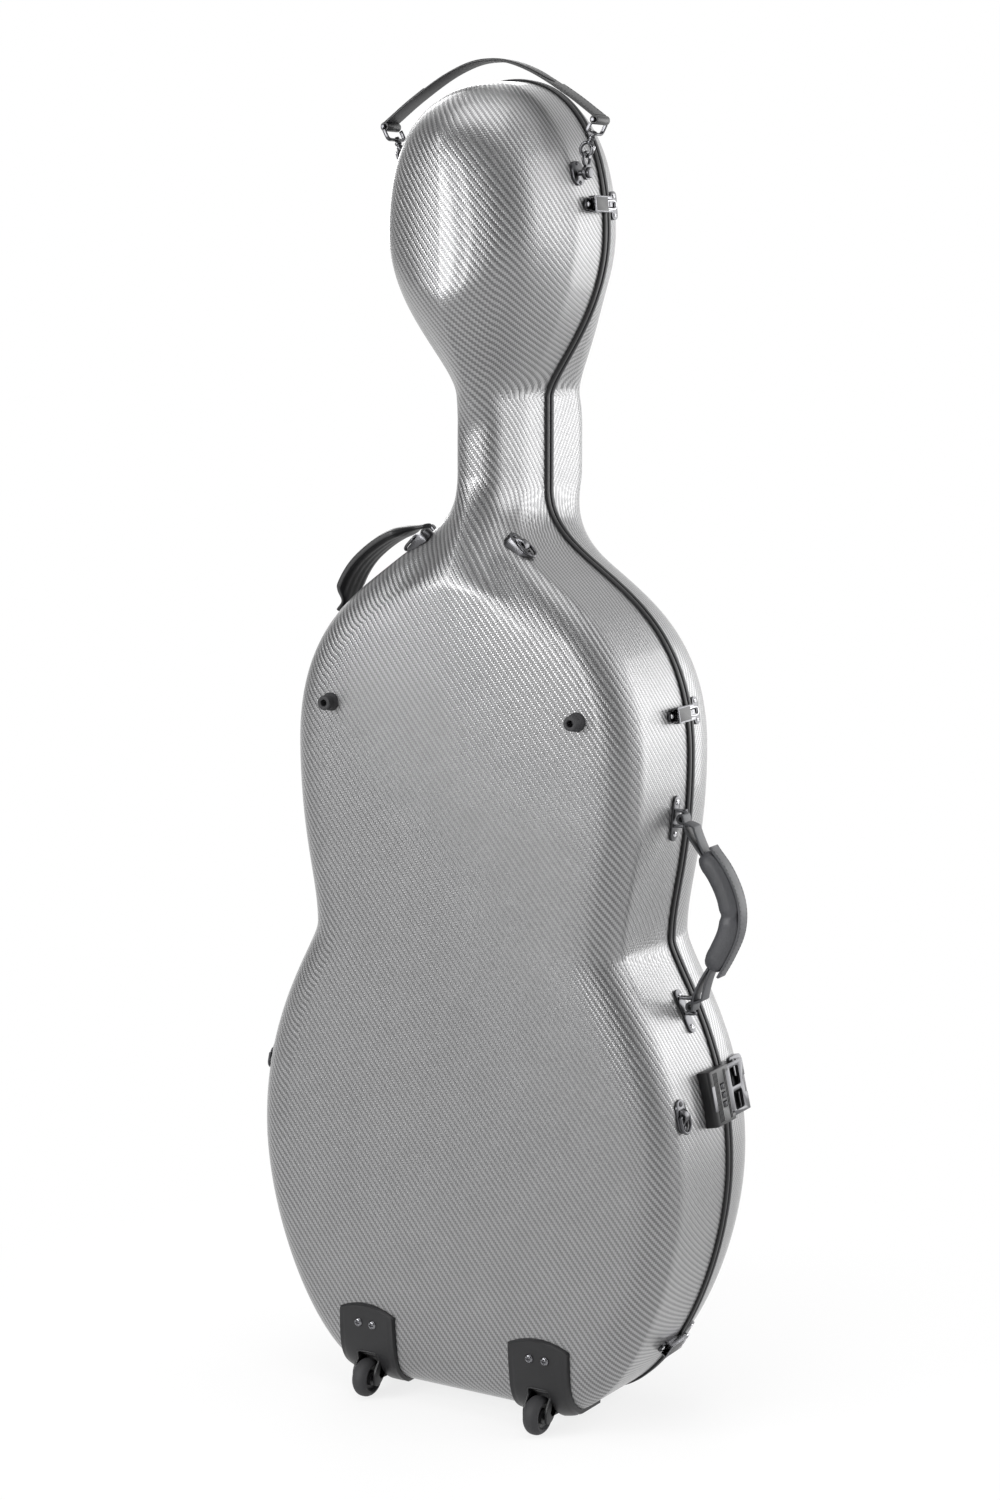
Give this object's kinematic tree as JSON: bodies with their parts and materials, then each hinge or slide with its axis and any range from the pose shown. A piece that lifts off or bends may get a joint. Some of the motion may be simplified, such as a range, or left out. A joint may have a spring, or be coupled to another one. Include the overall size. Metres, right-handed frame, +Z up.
{
  "type": "cello hard case",
  "caption": "Moulded twill-finish cello hard case that stands on wheels, with a hinged lid, draw latches, a combination lock, padded handles and lined inside",
  "frame": {"origin": "the middle of the whole box at the floor, with the case standing on its wheels and skid", "axes": "+Z up along the case to its head, +Y toward the lid and -Y toward the back with the wheels, +X toward the latches"},
  "size_m": [0.5378, 0.295, 1.3691],
  "materials": {
    "twill_shell": "silver-grey twill under clear gloss",
    "black_trim": "black with a soft sheen",
    "plush_lining": "short plush",
    "foam_pad": "velour over foam",
    "moulded_black": "fine moulded grain",
    "black_rubber": "matt",
    "wheel_tyre": "matt, slightly worn tread",
    "gunmetal": "dark nickel plate",
    "bright_metal": "bright plate",
    "grained_leather": "fine grain"
  },
  "bodies": {
    "case_back": {"back_shell": "twill_shell", "back_trim": "black_trim", "back_lining": "plush_lining", "neck_cradle": "foam_pad", "body_cushion": "foam_pad", "wheel_housing_right": "moulded_black", "wheel_housing_left": "moulded_black", "back_foot_right": "black_rubber", "back_foot_left": "black_rubber", "hinge_leaf_lower_back": "gunmetal", "hinge_leaf_upper_back": "gunmetal", "latch_base_head": "gunmetal", "latch_base_shoulder": "gunmetal", "latch_base_bottom": "gunmetal", "lock_housing": "moulded_black", "side_handle_bracket_upper": "gunmetal", "side_handle_bracket_lower": "gunmetal", "shoulder_handle_bracket_upper": "gunmetal", "shoulder_handle_bracket_lower": "gunmetal", "strap_lug_upper_right": "gunmetal", "strap_lug_upper_left": "gunmetal", "strap_lug_lower_right": "gunmetal", "strap_lug_lower_left": "gunmetal", "head_lug_right": "gunmetal", "head_lug_left": "gunmetal"},
    "case_lid": {"lid_shell": "twill_shell", "lid_trim": "black_trim", "lid_lining": "plush_lining", "hinge_leaf_lower_lid": "gunmetal", "hinge_leaf_upper_lid": "gunmetal", "latch_keeper_head": "gunmetal", "latch_keeper_shoulder": "gunmetal", "latch_keeper_bottom": "gunmetal", "lock_keeper": "gunmetal", "base_foot": "black_rubber", "bow_tip_holder": "moulded_black"},
    "head_strap_set": {"head_link_left": "gunmetal", "head_link_right": "gunmetal", "snap_hook_left": "gunmetal", "snap_hook_right": "gunmetal", "head_strap": "grained_leather"},
    "wheel_left_unit": {"wheel_left": "wheel_tyre"},
    "wheel_right_unit": {"wheel_right": "wheel_tyre"},
    "strap_ring_upper_left_unit": {"strap_ring_upper_left": "bright_metal"},
    "strap_ring_upper_right_unit": {"strap_ring_upper_right": "bright_metal"},
    "strap_ring_lower_left_unit": {"strap_ring_lower_left": "bright_metal"},
    "strap_ring_lower_right_unit": {"strap_ring_lower_right": "bright_metal"},
    "side_handle_unit": {"side_handle": "grained_leather"},
    "shoulder_handle_unit": {"shoulder_handle": "grained_leather"},
    "lock_hasp_unit": {"lock_hasp": "bright_metal"},
    "bow_spinner_unit": {"bow_spinner": "moulded_black"},
    "lock_dial_1_unit": {"lock_dial_1": "bright_metal"},
    "lock_dial_2_unit": {"lock_dial_2": "bright_metal"},
    "lock_dial_3_unit": {"lock_dial_3": "bright_metal"},
    "latch_lever_head_unit": {"latch_lever_head": "gunmetal"},
    "latch_lever_shoulder_unit": {"latch_lever_shoulder": "gunmetal"},
    "latch_lever_bottom_unit": {"latch_lever_bottom": "gunmetal"},
    "latch_bail_head_unit": {"latch_bail_head": "bright_metal"},
    "latch_bail_shoulder_unit": {"latch_bail_shoulder": "bright_metal"},
    "latch_bail_bottom_unit": {"latch_bail_bottom": "bright_metal"}
  },
  "joints": [
    {"name": "lid_hinge", "type": "hinge", "parent": "case_back", "child": "case_lid", "pos_m": [-0.25817, 0.0045, 0.33], "axis": [0.1157, 0, 0.9933], "range_deg": [0, 105]},
    {"name": "wheel_left_spin", "type": "hinge", "parent": "case_back", "child": "wheel_left_unit", "pos_m": [-0.10892, -0.1275, 0.02], "axis": [1, 0, 0], "continuous": true},
    {"name": "wheel_right_spin", "type": "hinge", "parent": "case_back", "child": "wheel_right_unit", "pos_m": [0.09708, -0.1275, 0.02], "axis": [1, 0, 0], "continuous": true},
    {"name": "side_handle_swing", "type": "hinge", "parent": "case_back", "child": "side_handle_unit", "pos_m": [0.21612, -0.0245, 0.438], "axis": [-0.0637, 0, 0.998], "range_deg": [-60, 60]},
    {"name": "shoulder_handle_swing", "type": "hinge", "parent": "case_back", "child": "shoulder_handle_unit", "pos_m": [-0.17588, -0.0535, 0.815], "axis": [0.758, 0, 0.6522], "range_deg": [-20, 20]},
    {"name": "head_strap_swing", "type": "hinge", "parent": "case_back", "child": "head_strap_set", "pos_m": [-0.00592, -0.0415, 1.257], "axis": [1, 0, 0], "range_deg": [-12, 40]},
    {"name": "strap_ring_upper_right_swing", "type": "hinge", "parent": "case_back", "child": "strap_ring_upper_right_unit", "pos_m": [0.05566, -0.0875, 0.89797], "axis": [0, 1, 0], "range_deg": [-120, 0]},
    {"name": "strap_ring_upper_left_swing", "type": "hinge", "parent": "case_back", "child": "strap_ring_upper_left_unit", "pos_m": [-0.06751, -0.0875, 0.89797], "axis": [0, 1, 0], "range_deg": [0, 120]},
    {"name": "strap_ring_lower_right_swing", "type": "hinge", "parent": "case_back", "child": "strap_ring_lower_right_unit", "pos_m": [0.23882, -0.0855, 0.34235], "axis": [0, 1, 0], "range_deg": [-120, 0]},
    {"name": "strap_ring_lower_left_swing", "type": "hinge", "parent": "case_back", "child": "strap_ring_lower_left_unit", "pos_m": [-0.25067, -0.0855, 0.34235], "axis": [0, 1, 0], "range_deg": [0, 120]},
    {"name": "latch_lever_head_swing", "type": "hinge", "parent": "case_back", "child": "latch_lever_head_unit", "pos_m": [0.10112, 0.0013, 1.2275], "axis": [-0.0942, 0, 0.9956], "range_deg": [0, 100]},
    {"name": "latch_bail_head_swing", "type": "hinge", "parent": "latch_lever_head_unit", "child": "latch_bail_head_unit", "pos_m": [0.10112, -0.0037, 1.2275], "axis": [-0.0942, 0, 0.9956], "range_deg": [-110, 5]},
    {"name": "latch_lever_shoulder_swing", "type": "hinge", "parent": "case_back", "child": "latch_lever_shoulder_unit", "pos_m": [0.19758, 0.0013, 0.72992], "axis": [-0.1738, 0, 0.9848], "range_deg": [0, 100]},
    {"name": "latch_bail_shoulder_swing", "type": "hinge", "parent": "latch_lever_shoulder_unit", "child": "latch_bail_shoulder_unit", "pos_m": [0.19758, -0.0037, 0.72992], "axis": [-0.1738, 0, 0.9848], "range_deg": [-110, 5]},
    {"name": "latch_lever_bottom_swing", "type": "hinge", "parent": "case_back", "child": "latch_lever_bottom_unit", "pos_m": [0.19384, 0.0013, 0.07623], "axis": [0.5225, 0, 0.8527], "range_deg": [0, 100]},
    {"name": "latch_bail_bottom_swing", "type": "hinge", "parent": "latch_lever_bottom_unit", "child": "latch_bail_bottom_unit", "pos_m": [0.19384, -0.0037, 0.07623], "axis": [0.5225, 0, 0.8527], "range_deg": [-110, 5]},
    {"name": "lock_dial_1_turn", "type": "hinge", "parent": "case_back", "child": "lock_dial_1_unit", "pos_m": [0.24461, -0.0155, 0.33858], "axis": [-0.2097, 0, 0.9778], "continuous": true},
    {"name": "lock_dial_2_turn", "type": "hinge", "parent": "case_back", "child": "lock_dial_2_unit", "pos_m": [0.24272, -0.0155, 0.34738], "axis": [-0.2097, 0, 0.9778], "continuous": true},
    {"name": "lock_dial_3_turn", "type": "hinge", "parent": "case_back", "child": "lock_dial_3_unit", "pos_m": [0.24084, -0.0155, 0.35618], "axis": [-0.2097, 0, 0.9778], "continuous": true},
    {"name": "lock_hasp_swing", "type": "hinge", "parent": "case_lid", "child": "lock_hasp_unit", "pos_m": [0.2396, 0.0385, 0.34671], "axis": [-0.2097, 0, 0.9778], "range_deg": [0, 100]},
    {"name": "bow_spinner_turn", "type": "hinge", "parent": "case_lid", "child": "bow_spinner_unit", "pos_m": [-0.00592, 0.1344, 0.33], "axis": [0, 1, 0], "continuous": true}
  ],
  "couplings": [
    {"joint": "latch_bail_head_swing", "follows": "latch_lever_head_swing", "ratio": -1},
    {"joint": "latch_bail_shoulder_swing", "follows": "latch_lever_shoulder_swing", "ratio": -1},
    {"joint": "latch_bail_bottom_swing", "follows": "latch_lever_bottom_swing", "ratio": -1}
  ]
}
